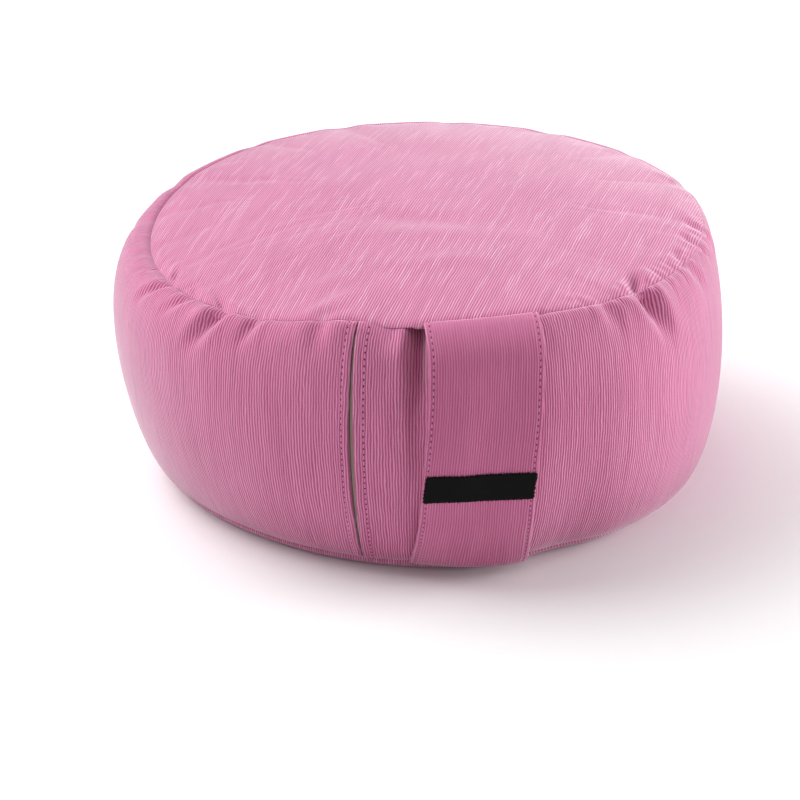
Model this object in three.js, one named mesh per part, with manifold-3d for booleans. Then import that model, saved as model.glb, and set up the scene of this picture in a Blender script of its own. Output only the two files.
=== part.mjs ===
// A round meditation cushion: a filled cover of two discs and a wall, with a carrying strap
// sewn into both seams, a slit in the wall that shows the zip's tape, and a plain woven label.
// Millimetres, +Z up. The origin is the middle of the flat underside, and the strap faces -Y.
import * as THREE from "three";
import { mergeVertices } from "three/addons/utils/BufferGeometryUtils.js";
import Module from "manifold-3d";

// Driving dimensions of the filled cover
const CROWN_RISE = 13; // the top disc's middle above the level of its seam
const CROWN_POWER = 2.6; // how flat the middle of the top disc lies
const BASE_SEAM_HEIGHT = 5; // the lower seam above the floor
const BASE_RIM = 11; // from the lower seam in to where the underside lies flat
const WALL_FULLNESS = 0.62; // below 1 the wall leaves its seams more squarely
const SEAM_PULL = 2; // how deep a seam draws the cloth in
const SEAM_SPREAD = 4.5; // how far from a seam the cloth is drawn in
const SEAM_LIFT = { turn: -27, width: 10, rise: 4 }; // the upper seam stands high beside the slit
const FOOT_TUCK = { turn: 18, width: 8, rise: -3.5 }; // and the foot is drawn in beside the strap
const PUCKER_EASE = 10; // a pucker grows to its full depth this far from the seam
const PUCKER_SEAM_SHARE = 0.25; // and has this share of it at the seam
const PUCKER_RIDGE = 0.7; // how strongly the cloth rises beside a pucker
const PUCKER_FADE = 0.15; // the share of its run after which a pucker fades out

// Driving dimensions of the pieces sewn to the cover
const STRAP_WIDTH = 58;
const STRAP_THICK = 2;
const STRAP_SEAM_GAP = 0.7; // the strap's clearance where it enters a seam
const STRAP_HANG = 6; // how far the slack strap stands off the wall at most
const SLACK_SKEW = 0.8; // below 1 the strap is slackest above its middle
const SLACK_POWER = 0.7; // below 1 it leaves the seams more squarely
const STRAP_DRIFT = -4.6; // the strap's lower part lies this far to one side
const DRIFT_END = 0.65; // the share of its length in which it drifts there
const STRAP_FLATTEN = 2.4; // the wall curves away behind the flat strap's edges
const POCKET_DEPTH = 1.2; // a seam is drawn in this much further where it takes in the strap
const POCKET_EDGE = [5, 11]; // and rises again between these distances beside the strap
const LABEL_WIDTH = 56;
const LABEL_HEIGHT = 15.5;
const LABEL_THICK = 1;
const LABEL_MIDDLE = 63.5; // the label's middle above the floor
const LABEL_TILT = 2.7; // degrees that its +X end hangs low
const PIECE_GAP = 0.3;
const SLIT_TURN = -23.1; // degrees round from the strap's middle
const SLIT_WIDTH = 3.2; // at its widest, between the two hemmed edges
const SLIT_END_WIDTH = 1.6;
const SLIT_DEPTH = 5.5;
const SLIT_OVERCUT = 4; // the cut starts this far outside the wall
const TAPE_INSET = 3.2; // the tape's face below the wall
const SLIT_SPAN = [0.03, 0.96]; // where on the wall the slit starts and ends
const TAPE_SPAN = [0.05, 0.94];

// How finely each face is divided
const TURNS = 144;
const TOP_RINGS = 9;
const WALL_RINGS = 17;
const RIM_RINGS = 2;
const STRAP_STEPS = [10, 36];
const LABEL_STEPS = [10, 4];
const SLIT_STEPS = 24;

// The filled form at eight sections round the cushion. The filling has settled unevenly,
// so the seam sits low on the -X side and the wall there hangs over its foot.
const SECTIONS = [
  { turn: 0, seamRadius: 149, seamHeight: 144, bulge: 21, bulgeAt: 0.46, baseRadius: 143 },
  { turn: 45, seamRadius: 147, seamHeight: 140, bulge: 18, bulgeAt: 0.5, baseRadius: 144 },
  { turn: 90, seamRadius: 148, seamHeight: 140, bulge: 12, bulgeAt: 0.54, baseRadius: 146 },
  { turn: 135, seamRadius: 150, seamHeight: 139, bulge: 17, bulgeAt: 0.45, baseRadius: 145 },
  { turn: 180, seamRadius: 150, seamHeight: 139, bulge: 18, bulgeAt: 0.44, baseRadius: 145 },
  { turn: 225, seamRadius: 150, seamHeight: 137, bulge: 18, bulgeAt: 0.44, baseRadius: 145 },
  { turn: 270, seamRadius: 150, seamHeight: 130, bulge: 23, bulgeAt: 0.35, baseRadius: 144 },
  { turn: 315, seamRadius: 154, seamHeight: 136, bulge: 22, bulgeAt: 0.45, baseRadius: 140 },
];

// Puckers where the cloth is eased into the upper seam: where they lie, how wide and deep they
// are, how far they run down the wall and into the top disc, and how far they lean sideways.
const PUCKERS = [
  { turn: -88, width: 5, depth: 2, down: 24, inward: 12, lean: -5 },
  { turn: -70, width: 5, depth: 3.5, down: 28, inward: 12, lean: -6 },
  { turn: -60, width: 5, depth: 2.5, down: 26, inward: 10, lean: -5 },
  { turn: -51, width: 6, depth: 5, down: 36, inward: 10, lean: -5 },
  { turn: -43, width: 5, depth: 3, down: 28, inward: 8, lean: -2 },
  { turn: -30, width: 6, depth: 1.8, down: 24, inward: 10, lean: 0 },
  { turn: -13, width: 5.5, depth: 7, down: 90, inward: 6, lean: 0.5 },
  { turn: 26, width: 7, depth: 2.5, down: 34, inward: 10, lean: 2 },
  { turn: 36, width: 7, depth: 7, down: 44, inward: 18, lean: 5 },
  { turn: 54, width: 5, depth: 2, down: 30, inward: 14, lean: 5 },
  { turn: 72, width: 6, depth: 1.8, down: 30, inward: 12, lean: 4 },
  { turn: 98, width: 7, depth: 2.2, down: 36, inward: 14, lean: 3 },
  { turn: 121, width: 6, depth: 1.6, down: 30, inward: 12, lean: -3 },
  { turn: 143, width: 8, depth: 2.6, down: 40, inward: 16, lean: 4 },
  { turn: 166, width: 6, depth: 1.8, down: 34, inward: 14, lean: -2 },
  { turn: 189, width: 7, depth: 2.4, down: 38, inward: 16, lean: 3 },
  { turn: 212, width: 6, depth: 1.6, down: 30, inward: 12, lean: -4 },
  { turn: 237, width: 8, depth: 2.6, down: 40, inward: 16, lean: -3 },
  { turn: 255, width: 6, depth: 1.8, down: 32, inward: 14, lean: -4 },
];

const { clamp, degToRad: rad, euclideanModulo, lerp, radToDeg, smoothstep } = THREE.MathUtils;
const meanSeamHeight = SECTIONS.reduce((sum, s) => sum + s.seamHeight, 0) / SECTIONS.length;

// The same turn between -180 and 180 degrees.
function wrapTurn(turn) {
  return euclideanModulo(turn + 180, 360) - 180;
}

// A section's value at any turn, on a smooth closed curve through the table's rows.
function sectionValue(column, turn) {
  const count = SECTIONS.length;
  const place = euclideanModulo(turn, 360) / (360 / count);
  const row = Math.floor(place);
  const [a, b, c, d] = [-1, 0, 1, 2].map((k) => SECTIONS[(row + k + count) % count][column]);
  const f = place - row;
  const bend = 2 * a - 5 * b + 4 * c - d + f * (3 * (b - c) + d - a);
  return b + 0.5 * f * (c - a + f * bend);
}

// A local change in the form, strongest at its own turn.
function localRise(change, turn) {
  return change.rise * Math.exp(-Math.pow(wrapTurn(turn - change.turn) / change.width, 2));
}

function seamHeightAt(turn) {
  return sectionValue("seamHeight", turn) + localRise(SEAM_LIFT, turn);
}

// A point at a radius and height on the section at a turn.
function around(turn, radius, height) {
  const angle = rad(turn);
  return new THREE.Vector3(radius * Math.sin(angle), -radius * Math.cos(angle), height);
}

// A point of the filled wall, with down from 0 at the upper seam to 1 at the lower one.
function filledWall(turn, down) {
  const bulgeAt = sectionValue("bulgeAt", turn);
  const skewed = Math.pow(down, Math.log(0.5) / Math.log(bulgeAt));
  const swell = Math.pow(Math.max(0, 4 * skewed * (1 - skewed)), WALL_FULLNESS);
  const baseRadius = sectionValue("baseRadius", turn) + localRise(FOOT_TUCK, turn);
  const chord = lerp(sectionValue("seamRadius", turn), baseRadius, down);
  const height = lerp(seamHeightAt(turn), BASE_SEAM_HEIGHT, down);
  return around(turn, chord + sectionValue("bulge", turn) * swell, height);
}

// The wall's outward direction there, square to it.
function wallNormal(turn, down) {
  const step = 0.01;
  const round = filledWall(turn + 1, down).sub(filledWall(turn - 1, down));
  const fall = filledWall(turn, Math.min(1, down + step)).sub(filledWall(turn, Math.max(0, down - step)));
  return fall.cross(round).normalize();
}

// How far the cloth is drawn in by a seam that lies this far away along it. The seam is deeper
// behind the strap, whose middle is drift millimetres to one side there.
function seamPull(turn, distance, drift) {
  const beside = Math.abs(rad(wrapTurn(turn)) * SECTIONS[0].seamRadius - drift) - STRAP_WIDTH / 2;
  const depth = SEAM_PULL + POCKET_DEPTH * (1 - smoothstep(beside, ...POCKET_EDGE));
  return depth * Math.exp(-Math.pow(distance / SEAM_SPREAD, 2));
}

// How far the puckers draw the cloth in, at a distance from the upper seam along the wall or the disc.
function puckerPull(turn, distance, radius, reach) {
  let pull = 0;
  for (const pucker of PUCKERS) {
    const run = distance / pucker[reach];
    const away = wrapTurn(turn - pucker.turn - pucker.lean * run);
    const across = (rad(away) * radius) / pucker.width;
    const trough = (1 - PUCKER_RIDGE * across * across) * Math.exp(-0.5 * across * across);
    const start = lerp(PUCKER_SEAM_SHARE, 1, clamp(distance / PUCKER_EASE, 0, 1));
    pull += pucker.depth * trough * start * (1 - smoothstep(run, PUCKER_FADE, 1));
  }
  return pull;
}

// How far a place on the wall lies from the upper seam, straight through the air.
function wallRun(turn, down) {
  return filledWall(turn, 0).distanceTo(filledWall(turn, down));
}

// The wall with its seams, and with its puckers where they are wanted.
function wallPoint(turn, down, out = 0, puckered = false) {
  const run = wallRun(turn, down);
  const point = filledWall(turn, down);
  const foot = wallRun(turn, 1) - run;
  let lift = out - seamPull(turn, run, 0) - seamPull(turn, foot, STRAP_DRIFT);
  if (puckered) lift -= puckerPull(turn, run, Math.hypot(point.x, point.y), "down");
  return point.addScaledVector(wallNormal(turn, down), lift);
}

// A point of the top disc, with reach from 0 in the middle to 1 at the seam.
function topPoint(turn, reach) {
  const radius = sectionValue("seamRadius", turn) * reach;
  const fromSeam = sectionValue("seamRadius", turn) - radius;
  const level = lerp(meanSeamHeight, seamHeightAt(turn), reach * reach);
  const crown = CROWN_RISE * (1 - Math.pow(reach, CROWN_POWER));
  const pull = seamPull(turn, fromSeam, 0) + reach * puckerPull(turn, fromSeam, radius, "inward");
  return around(turn, radius, level + crown - pull);
}

// A point of the rounded rim under the cushion, with reach from 0 at the lower seam to 1 on the floor.
function rimPoint(turn, reach) {
  const seam = wallPoint(turn, 1);
  const seamRadius = Math.hypot(seam.x, seam.y);
  const arc = (reach * Math.PI) / 2;
  const radius = seamRadius - BASE_RIM * (1 - Math.cos(arc));
  return around(turn, radius, seam.z * (1 - Math.sin(arc)));
}

// The stations from the middle of the underside round the outside to the middle of the top.
function coverStations() {
  const stations = [(turn) => around(turn, 0, 0)];
  for (let k = RIM_RINGS; k >= 1; k--) stations.push((turn) => rimPoint(turn, k / RIM_RINGS));
  for (let k = WALL_RINGS; k >= 1; k--) {
    const down = (1 - Math.cos((Math.PI * k) / WALL_RINGS)) / 2;
    stations.push((turn) => wallPoint(turn, down, 0, true));
  }
  for (let k = TOP_RINGS; k >= 0; k--) {
    const reach = Math.sin(((Math.PI / 2) * k) / TOP_RINGS);
    stations.push((turn) => topPoint(turn, reach));
  }
  return stations;
}

// The filled cover: a turned form whose points are moved to the sections, seams and puckers.
function coverGeometry() {
  const stations = coverStations();
  const outline = stations.map((at) => {
    const p = at(0);
    return new THREE.Vector2(Math.hypot(p.x, p.y), p.z);
  });
  const geometry = new THREE.LatheGeometry(outline, TURNS);
  const position = geometry.getAttribute("position");
  for (let i = 0; i < position.count; i++) {
    const turn = (360 / TURNS) * (Math.floor(i / stations.length) % TURNS);
    const p = stations[i % stations.length](turn);
    position.setXYZ(i, p.x, p.y, p.z);
  }
  return geometry;
}

// A thin block whose points are moved: place takes a share across it from its middle, a share
// out through it from its back, and a share down it from its upper end.
function bentBlock(acrossSteps, alongSteps, place) {
  const geometry = new THREE.BoxGeometry(1, 1, 1, acrossSteps, 1, alongSteps);
  const position = geometry.getAttribute("position");
  for (let i = 0; i < position.count; i++) {
    const p = place(position.getX(i), 0.5 - position.getY(i), 0.5 - position.getZ(i));
    position.setXYZ(i, p.x, p.y, p.z);
  }
  return geometry;
}

// The strap's stand-off from the wall: none in the seams, and most slack a little above the middle.
function strapStandOff(along, across) {
  const slack = Math.pow(Math.sin(Math.PI * Math.pow(along, SLACK_SKEW)), SLACK_POWER);
  return STRAP_SEAM_GAP + slack * (STRAP_HANG - STRAP_SEAM_GAP + STRAP_FLATTEN * 4 * across * across);
}

// A point of the strap: shares across it and along it from the upper seam, and a lift off its back.
function strapPoint(across, along, lift) {
  const standOff = strapStandOff(along, across) + lift;
  const sideways = across * STRAP_WIDTH + STRAP_DRIFT * smoothstep(along, 0, DRIFT_END);
  const turn = radToDeg(Math.asin(sideways / (standOff - filledWall(0, along).y)));
  return wallPoint(turn, along, standOff);
}

// The share along the strap at which its middle is this far above the floor.
function strapShareAt(height) {
  let [low, high] = [0, 1];
  for (let k = 0; k < 40; k++) {
    const middle = (low + high) / 2;
    if (strapPoint(0, middle, 0).z > height) low = middle;
    else high = middle;
  }
  return low;
}

function strapGeometry() {
  const [acrossSteps, alongSteps] = STRAP_STEPS;
  return bentBlock(acrossSteps, alongSteps, (across, through, along) => {
    const eased = (1 - Math.cos(Math.PI * along)) / 2;
    return strapPoint(across, eased, through * STRAP_THICK);
  });
}

function labelGeometry() {
  const [acrossSteps, alongSteps] = LABEL_STEPS;
  const top = strapShareAt(LABEL_MIDDLE + LABEL_HEIGHT / 2);
  const foot = strapShareAt(LABEL_MIDDLE - LABEL_HEIGHT / 2);
  const centre = new THREE.Vector2();
  return bentBlock(acrossSteps, alongSteps, (across, through, along) => {
    const place = new THREE.Vector2(across * LABEL_WIDTH, (along - 0.5) * LABEL_HEIGHT);
    place.rotateAround(centre, rad(LABEL_TILT));
    const lift = STRAP_THICK + PIECE_GAP + through * LABEL_THICK;
    return strapPoint(place.x / STRAP_WIDTH, lerp(top, foot, 0.5 + place.y / LABEL_HEIGHT), lift);
  });
}

// The slit's width, narrow at both ends and open in the middle.
function slitWidth(along) {
  return SLIT_END_WIDTH + (SLIT_WIDTH - SLIT_END_WIDTH) * Math.sin(Math.PI * clamp(along, 0, 1));
}

// A narrow block that follows the slit, between two depths under the wall.
function slitBlock([start, end], widthLoss, inner, outer) {
  const [first, last] = SLIT_SPAN;
  return bentBlock(1, SLIT_STEPS, (across, through, along) => {
    const down = lerp(start, end, along);
    const width = slitWidth((down - first) / (last - first)) - widthLoss;
    const middle = filledWall(SLIT_TURN, down);
    const radius = Math.hypot(middle.x, middle.y);
    const turn = SLIT_TURN + radToDeg((across * width) / radius);
    const depth = lerp(inner, outer, through);
    return filledWall(turn, down).addScaledVector(wallNormal(SLIT_TURN, down), depth);
  });
}

const wasm = await Module();
wasm.setup();

// A closed geometry as a solid that can be cut.
function solidOf(geometry) {
  const bare = geometry.clone();
  bare.deleteAttribute("normal");
  bare.deleteAttribute("uv");
  const merged = mergeVertices(bare, 1e-4);
  const vertProperties = new Float32Array(merged.getAttribute("position").array);
  const triVerts = new Uint32Array(merged.index.array);
  return new wasm.Manifold(new wasm.Mesh({ numProp: 3, vertProperties, triVerts }));
}

// A cut solid as a geometry again.
function geometryOf(solid) {
  const { vertProperties, triVerts } = solid.getMesh();
  const geometry = new THREE.BufferGeometry();
  geometry.setAttribute("position", new THREE.BufferAttribute(vertProperties, 3));
  geometry.setIndex(new THREE.BufferAttribute(triVerts, 1));
  geometry.computeVertexNormals();
  return geometry;
}

const cloth = new THREE.MeshStandardMaterial({ color: "#cc86a9", roughness: 0.85, metalness: 0 });
const strapCloth = cloth.clone();
const labelCloth = new THREE.MeshStandardMaterial({ color: "#1c1c1a", roughness: 0.9, metalness: 0 });
const tapeCloth = new THREE.MeshStandardMaterial({ color: "#9c8c80", roughness: 0.9, metalness: 0 });

function piece(name, geometry, material) {
  const mesh = new THREE.Mesh(geometry, material);
  mesh.name = name;
  return mesh;
}

const slitCut = slitBlock(SLIT_SPAN, 0, -SLIT_DEPTH, SLIT_OVERCUT);
const slitTape = slitBlock(TAPE_SPAN, 2 * PIECE_GAP, PIECE_GAP - SLIT_DEPTH, -TAPE_INSET);
const cover = solidOf(coverGeometry()).subtract(solidOf(slitCut));

const cushion = new THREE.Group();
cushion.add(
  piece("filled_cover", geometryOf(cover), cloth),
  piece("carry_strap", strapGeometry(), strapCloth),
  piece("woven_label", labelGeometry(), labelCloth),
  piece("zip_tape", slitTape, tapeCloth),
);

export default cushion;
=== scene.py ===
"""A round meditation cushion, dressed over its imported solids.

The filled cover is grown from the same eight sections as its solid, settled by a cloth simulation, and
then gets its seams, creases and zip slit. The strap, the label and the zip's tape lie on it. Shapes are
worked out in millimetres and become metres when a mesh is made. A turn is in degrees round from the
strap's middle.
"""
import math

import bpy
import numpy as np
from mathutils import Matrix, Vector, noise


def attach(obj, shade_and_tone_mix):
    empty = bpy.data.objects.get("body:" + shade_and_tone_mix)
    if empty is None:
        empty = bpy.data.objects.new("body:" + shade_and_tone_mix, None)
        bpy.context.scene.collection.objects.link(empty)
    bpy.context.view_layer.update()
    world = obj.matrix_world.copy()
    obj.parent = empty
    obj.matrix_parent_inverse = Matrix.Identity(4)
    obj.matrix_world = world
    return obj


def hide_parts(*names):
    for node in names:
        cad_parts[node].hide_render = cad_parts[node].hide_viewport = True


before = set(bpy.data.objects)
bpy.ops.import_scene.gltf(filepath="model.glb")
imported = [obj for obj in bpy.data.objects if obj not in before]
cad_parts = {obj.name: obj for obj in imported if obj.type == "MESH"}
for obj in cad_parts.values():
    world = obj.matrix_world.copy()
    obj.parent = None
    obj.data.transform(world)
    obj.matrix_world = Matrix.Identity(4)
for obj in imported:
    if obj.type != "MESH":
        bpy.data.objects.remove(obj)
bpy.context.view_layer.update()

MM = 0.001

# The filled form, section by section round the cushion, as in the solid
SECTIONS = [
    {"turn": 0, "seam_radius": 149, "seam_height": 144, "bulge": 21, "bulge_at": 0.46, "base_radius": 143},
    {"turn": 45, "seam_radius": 147, "seam_height": 140, "bulge": 18, "bulge_at": 0.50, "base_radius": 144},
    {"turn": 90, "seam_radius": 148, "seam_height": 140, "bulge": 12, "bulge_at": 0.54, "base_radius": 146},
    {"turn": 135, "seam_radius": 150, "seam_height": 139, "bulge": 17, "bulge_at": 0.45, "base_radius": 145},
    {"turn": 180, "seam_radius": 150, "seam_height": 139, "bulge": 18, "bulge_at": 0.44, "base_radius": 145},
    {"turn": 225, "seam_radius": 150, "seam_height": 137, "bulge": 18, "bulge_at": 0.44, "base_radius": 145},
    {"turn": 270, "seam_radius": 150, "seam_height": 130, "bulge": 23, "bulge_at": 0.35, "base_radius": 144},
    {"turn": 315, "seam_radius": 154, "seam_height": 136, "bulge": 22, "bulge_at": 0.45, "base_radius": 140},
]
SEAM_LIFT = {"turn": -27, "width": 10, "rise": 4}  # the upper seam stands high beside the slit
SEAM_SAG = {"turn": -17, "width": 5, "rise": -2.0}  # and sags between the slit and the strap
FOOT_TUCK = {"turn": 18, "width": 8, "rise": -3.5}  # the foot is drawn in beside the strap
FOOT_SPREADS = [  # and spreads further round
    {"turn": -76, "width": 18, "rise": 2.0},
    {"turn": 46, "width": 20, "rise": 2.6},
]
CROWN_RISE = 13
CROWN_POWER = 2.6
BASE_SEAM_HEIGHT = 5
BASE_RIM = 11  # how far the rim goes in from the lower seam to the floor
RIM_ROLL = 3.2  # how far it rolls out on the way
RIM_FLAT = {"turn": 42, "width": 32, "rise": -3.0}  # where it hardly does
RIM_UNDER_STRAP = 1.6  # and how much further it does below the strap
WALL_FULLNESS = 0.62  # below 1 the bulge is fuller near the seams
SEAM_PULL = 2.0  # how far a seam draws the cloth in
SEAM_SPREAD = 1.7  # and how far beside the seam this fades
POCKET_DEPTH = 1.6  # a seam is drawn in this much further behind the strap
POCKET_EDGE = (2, 6)  # and rises again between these distances beside the strap
WALL_LENGTH = 172
WALL_RADIUS = 165
# The wall is tucked in under the upper seam from one turn to another, deepest a little below the seam
SEAM_TUCK = {"first": -22.5, "last": -6, "ease": 3, "depth": 4.8, "deepest": 2, "run": 16}

# Puckers at the upper seam: where they lie, how wide and deep they are, how far they run down the wall
# and into the top disc, and how far they lean sideways on the way
PUCKERS = [
    {"turn": -88, "width": 4, "depth": 0.7, "down": 22, "inward": 12, "lean": -5},
    {"turn": -79, "width": 3, "depth": 1.0, "down": 16, "inward": 10, "lean": -5},
    {"turn": -70, "width": 3.5, "depth": 3.6, "down": 24, "inward": 10, "lean": -6},
    {"turn": -61, "width": 3.5, "depth": 2.6, "down": 20, "inward": 8, "lean": -5},
    {"turn": -51, "width": 5, "depth": 5.6, "down": 32, "inward": 8, "lean": -6},
    {"turn": -43, "width": 3.5, "depth": 3.2, "down": 22, "inward": 7, "lean": -2},
    {"turn": -30, "width": 5, "depth": 2.2, "down": 24, "inward": 9, "lean": 0},
    {"turn": 26, "width": 5, "depth": 2.0, "down": 26, "inward": 8, "lean": 2},
    {"turn": 36, "width": 6, "depth": 6.8, "down": 37, "inward": 15, "lean": 5},
    {"turn": 54, "width": 4, "depth": 1.8, "down": 28, "inward": 14, "lean": 5},
    {"turn": 64, "width": 3, "depth": 1.6, "down": 18, "inward": 16, "lean": 4},
    {"turn": 72, "width": 4, "depth": 1.8, "down": 26, "inward": 16, "lean": 4},
    {"turn": 98, "width": 7, "depth": 1.2, "down": 36, "inward": 14, "lean": 3},
    {"turn": 121, "width": 6, "depth": 0.9, "down": 30, "inward": 12, "lean": -3},
    {"turn": 143, "width": 8, "depth": 1.2, "down": 40, "inward": 16, "lean": 4},
    {"turn": 166, "width": 6, "depth": 0.9, "down": 34, "inward": 14, "lean": -2},
    {"turn": 189, "width": 7, "depth": 1.1, "down": 38, "inward": 16, "lean": 3},
    {"turn": 212, "width": 6, "depth": 0.8, "down": 30, "inward": 12, "lean": -4},
    {"turn": 237, "width": 8, "depth": 1.0, "down": 40, "inward": 16, "lean": -3},
    {"turn": 255, "width": 6, "depth": 0.7, "down": 32, "inward": 14, "lean": -4},
]
PUCKER_EASE = 6  # a pucker is at its full depth from this far off the seam
PUCKER_SEAM_SHARE = 0.25  # and has this share of it at the seam
PUCKER_RIDGE = 0.7  # how far the cloth stands up beside it
PUCKER_FADE = 0.15  # the share of its run after which it fades
# The deep fold in the wall along the strap's edge, and the long shallow trough that it ends in
STRAP_FOLD = {
    "turn": -11.7,
    "lean": -0.6,
    "width": 4.0,
    "ridge": 0.25,
    "ease": 4,
    "depth": 17,
    "down": 52,
    "trough": 3.5,
    "long": 120,
}

# Small gathers between the puckers, along the stretches of the upper seam where the cloth is eased in
GATHER_SEED = 7
GATHER_STRETCHES = [(-80, -40), (22, 78)]
GATHER_APART = (2.2, 5.0)
GATHER_DEPTH = (0.25, 0.8)
GATHER_RUN = (6, 16)
GATHER_LEAN = (-3, 3)
GATHER_WIDTH = 1.5
GATHER_RIDGE = 0.6
GATHER_EASE = 1.5
GATHER_FADE = 0.2

# Slack folds across the top disc: the middle of each, the turn it lies at, its half length and half
# width, and its rise
TOP_FOLDS = [
    {"x": -20, "y": -28, "turn": -20, "length": 60, "width": 9, "rise": -0.9},
    {"x": -25, "y": -48, "turn": -10, "length": 70, "width": 8, "rise": 0.55},
    {"x": -9, "y": -86, "turn": 0, "length": 24, "width": 8, "rise": 1.0},
    {"x": -70, "y": -96, "turn": 15, "length": 18, "width": 8, "rise": 0.9},
    {"x": -76, "y": -124, "turn": 30, "length": 18, "width": 6, "rise": 1.8},
    {"x": 60, "y": 10, "turn": 35, "length": 50, "width": 12, "rise": 0.7},
    {"x": -100, "y": 45, "turn": -60, "length": 26, "width": 9, "rise": -1.2},
    {"x": 10, "y": 70, "turn": 10, "length": 60, "width": 16, "rise": -0.8},
]
TOP_FOLD_EDGE = 10  # the folds die away this near the seam

# The strap and what is sewn to it
STRAP_WIDTH = 58
STRAP_LENGTH = 176
STRAP_THICK = 2
STRAP_SEAM_GAP = 0.7  # the strap's clearance where it enters a seam
STRAP_END = 0.985  # the share of the wall's fall at which it goes into the lower seam
STRAP_HANG = 6  # how far the slack strap stands off the wall
SLACK_SKEW = 0.8  # below 1 it is slackest above its middle
SLACK_POWER = 0.7  # below 1 it stands off sooner beside the seams
TAUT_FROM = 0.72  # below this share it is drawn in to the lower seam
TAUT_SHARE = 0.75  # and loses this share of its slack
STRAP_DRIFT = -4.6  # its lower part lies this far to one side
DRIFT_END = 0.65  # from this share down
STRAP_FLARE = 0.05  # below which it also widens by this share
STRAP_FLATTEN = 2.4  # the wall curves away behind its flat edges
STRAP_TURN_IN = {"thin": 0.3, "run": 0.05}  # it is thinner over the last of its length at each seam
STRAP_EDGE = {"depth": 0.9, "reach": 0.6}  # the rounding of its long edges
STITCH_INSET = 2.4  # its sewing's distance from the edge
STITCH_SINK = 0.45  # how far the sewing draws the cloth in
STITCH_DIMPLE = 0.8  # and over what width
LABEL_WIDTH = 56
LABEL_HEIGHT = 15.5
LABEL_THICK = 0.9
LABEL_MIDDLE = 63.5  # its height above the floor
LABEL_TILT = 2.7
LABEL_CORNER = 1.2
LABEL_EDGE = {"depth": 0.5, "reach": 0.4}  # the rounding of its edges
LABEL_FRAY = {"most": 0.9, "reach": 0.5, "grain": 1.3, "apart": 40}  # and how they are frayed
PIECE_GAP = 0.3  # between the strap and the label

# Where the slack strap swells and dips, in shares across it and along it
STRAP_SWELLS = [
    {"across": -0.16, "along": 0.42, "wide": 0.13, "long": 0.20, "rise": 1.3},
    {"across": 0.22, "along": 0.24, "wide": 0.2, "long": 0.10, "rise": -1.2},
    {"across": 0.05, "along": 0.10, "wide": 0.7, "long": 0.06, "rise": 2.6},
    {"across": 0.0, "along": 0.75, "wide": 0.3, "long": 0.12, "rise": 0.5},
    {"across": 0.35, "along": 1.0, "wide": 0.5, "long": 0.12, "rise": 2.0},
    {"across": -0.5, "along": 1.0, "wide": 0.25, "long": 0.1, "rise": -1.5},
]

# The zip slit, and the strip of tape that shows in it
SLIT_TURN = -23.1
SLIT_HALF_GAP = 0.85
SLIT_FOOT = 0.97  # the share of the wall's fall at which the slit ends
SLIT_ROUNDNESS = 0.7  # below 1 it opens sooner at both ends
SLIT_GIVE = 6  # how far beside the slit the cloth moves aside for it
SLIT_SHUT = 0.35  # the share of its depth that the slit keeps where it is shut
SLIT_ENDS = {"upper": (0, 0.012), "lower": (0.975, 0.995)}  # its edges level out over these shares
SLIT_SEWING = (-4.0, 6.2)
TAPE_SPAN = (0.03, 0.95)
TAPE_LENGTH = 150
TAPE_DEPTH = 1.7
TAPE_THICK = 1.2
TAPE_WIDTH = 2.0
TAPE_NARROW = 0.4  # the share of its width that shows where the slit is shut
TAPE_SHIFT = 0.5
# The columns of the cover beside the slit, and how high the turned edge stands at each of them
SLIT_LIP = [
    {"away": 0, "rise": -5.0},
    {"away": 0.2, "rise": -5.0},
    {"away": 0.28, "rise": -3.0},
    {"away": 0.38, "rise": -1.0},
    {"away": 0.55, "rise": -0.2},
    {"away": 0.9, "rise": 0.2},
    {"away": 1.5, "rise": 0.45},
    {"away": 2.3, "rise": 0.55},
    {"away": 3.2, "rise": 0.4},
    {"away": 3.8, "rise": 0.12},
    {"away": 4.3, "rise": -0.15},
    {"away": 4.8, "rise": 0.05},
    {"away": 5.6, "rise": 0.1},
    {"away": 7.0, "rise": 0.05},
    {"away": 9.0, "rise": 0},
]

# How finely the pieces are divided
COVER_TURNS = 500
FRONT_CROWDING = 0.4  # the cover's columns stand closer at the front
SLIT_CLEAR = 0.2  # and this many degrees off the slit's own columns
WALL_ROWS = 96
WALL_CROWDING = 0.75  # the wall's rows stand closer near both seams
TOP_ROWS = 72
TOP_CROWDING = 1.5  # and the top disc's rows near its seam
RIM_ROWS = 6
FLAT_ROWS = 4
# The distances of the strap's columns from its nearer edge
STRAP_COLUMNS = [0, 0.3, 0.8, 1.5, 2.3, 3.0, 3.6, 4.2, 5.0, 6.2, 8, 10, 12.5, 15, 18, 21, 24, 27]
STRAP_ROWS = 160
LABEL_STEPS = (140, 40)
TAPE_STEPS = (6, 80)
SEWING_POINTS = 120

# The filling's press on the sewn cloth: the grid it is worked out on, and what is kept of it
SETTLE_TURNS = 240
SETTLE_WALL_ROWS = 40
SETTLE_TOP_ROWS = 36
SETTLE_FRAMES = 20
SETTLE_PRESSURE = 4
SETTLE_EASE = 0.06  # the share of extra cloth at the upper seam
SETTLE_REACH = 24  # and how far from the seam it fades
SETTLE_SLOW_WAVES = 4  # what makes fewer waves round the cushion is left to the sections
SETTLE_MOST = 4  # no place moves further than this
SETTLE_TOP_SHARE = 0.6  # the share of the movement that the top disc keeps
SETTLE_STRAP_SHARE = 0.1  # and the cloth behind the strap
SETTLE_STRAP_EDGE = 14  # which moves freely again this far beside it

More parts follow.
